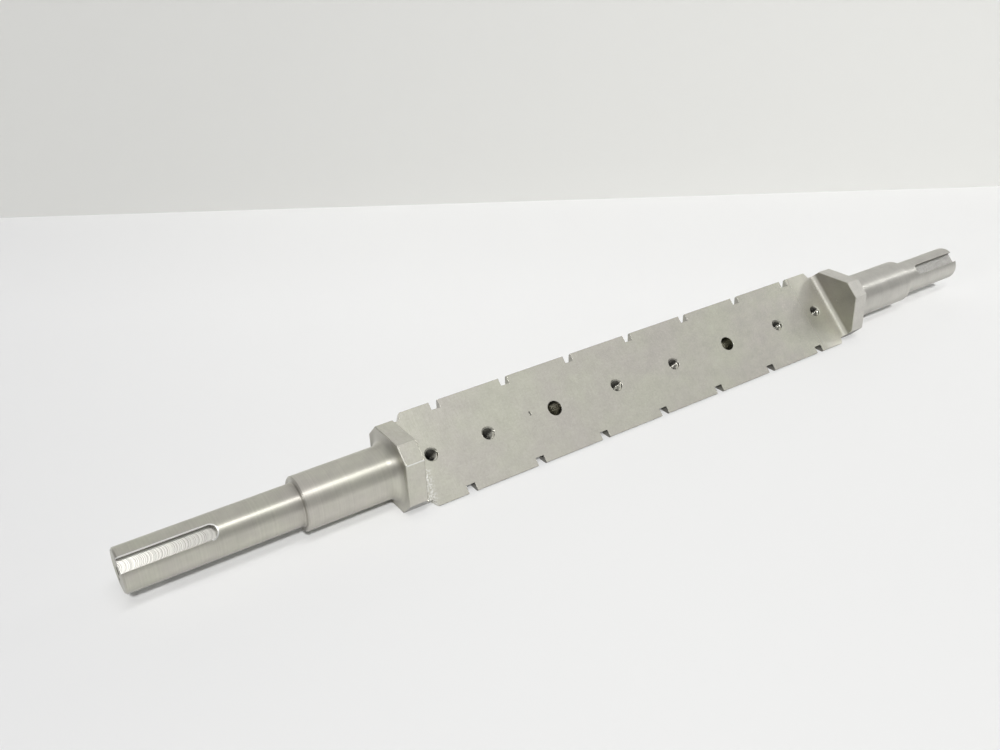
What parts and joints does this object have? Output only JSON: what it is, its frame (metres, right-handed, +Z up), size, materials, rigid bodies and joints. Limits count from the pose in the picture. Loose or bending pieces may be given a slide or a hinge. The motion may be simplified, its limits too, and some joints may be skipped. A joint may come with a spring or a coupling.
{
  "type": "knife shaft",
  "caption": "One-piece steel shaft with a slotted, drilled flat between square collars for a bolted knife, and journals with keyed ends on both sides.",
  "frame": {"origin": "on the shaft's axis, at the middle of the knife seat, which is a flat that holds the axis", "axes": "+X along the shaft's axis towards its short keyed end, +Z up with the shaft lying on the flats of its square middle, so that the knife seat faces up and towards -Y at 45 degrees"},
  "size_m": [0.6645, 0.045, 0.045],
  "materials": {
    "stainless_steel": "satin"
  },
  "bodies": {
    "root": {"knife_shaft": "stainless_steel"}
  },
  "joints": []
}
